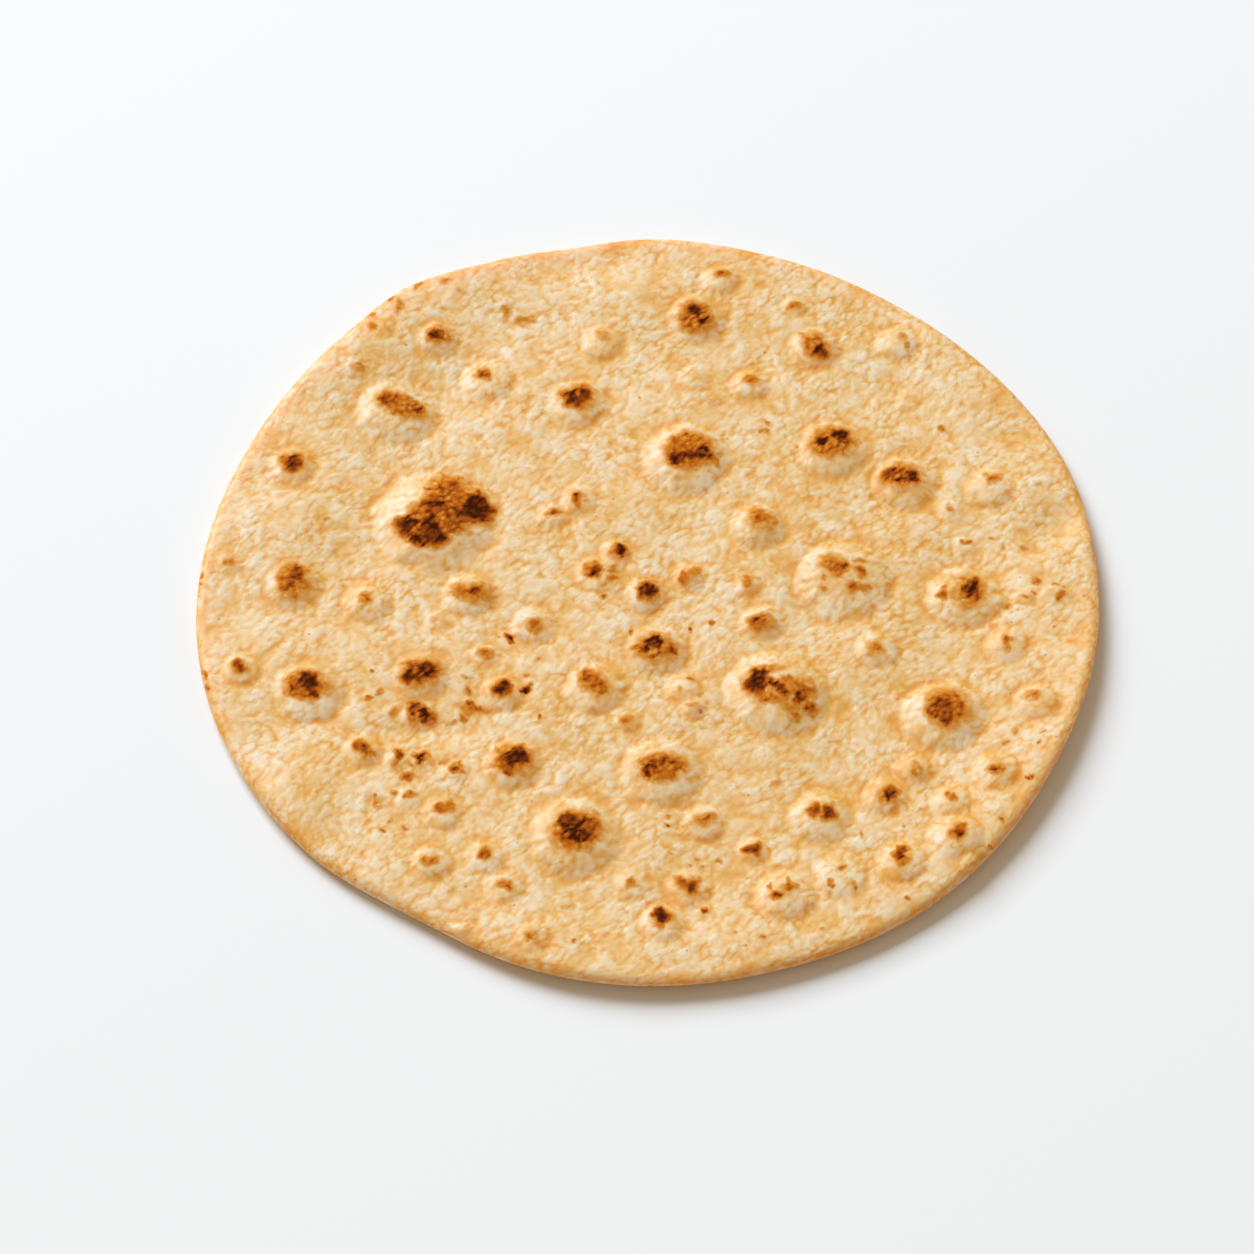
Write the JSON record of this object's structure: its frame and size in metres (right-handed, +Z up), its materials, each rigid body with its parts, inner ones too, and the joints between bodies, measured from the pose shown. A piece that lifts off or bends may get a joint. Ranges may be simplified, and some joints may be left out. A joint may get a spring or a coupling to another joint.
{
  "type": "chapati flatbread",
  "caption": "Thin round hand-rolled flatbread lying flat, with puffed blisters, a rounded rim and browned spots.",
  "frame": {"origin": "middle of the flat underside that lies on the table", "axes": "+Z up, out of the blistered top; +Y away from the side that was nearest the viewer; +X to the viewer's right"},
  "size_m": [0.2004, 0.201, 0.0064],
  "materials": {
    "baked_dough": "matte"
  },
  "bodies": {
    "root": {"chapati": "baked_dough"}
  },
  "joints": []
}
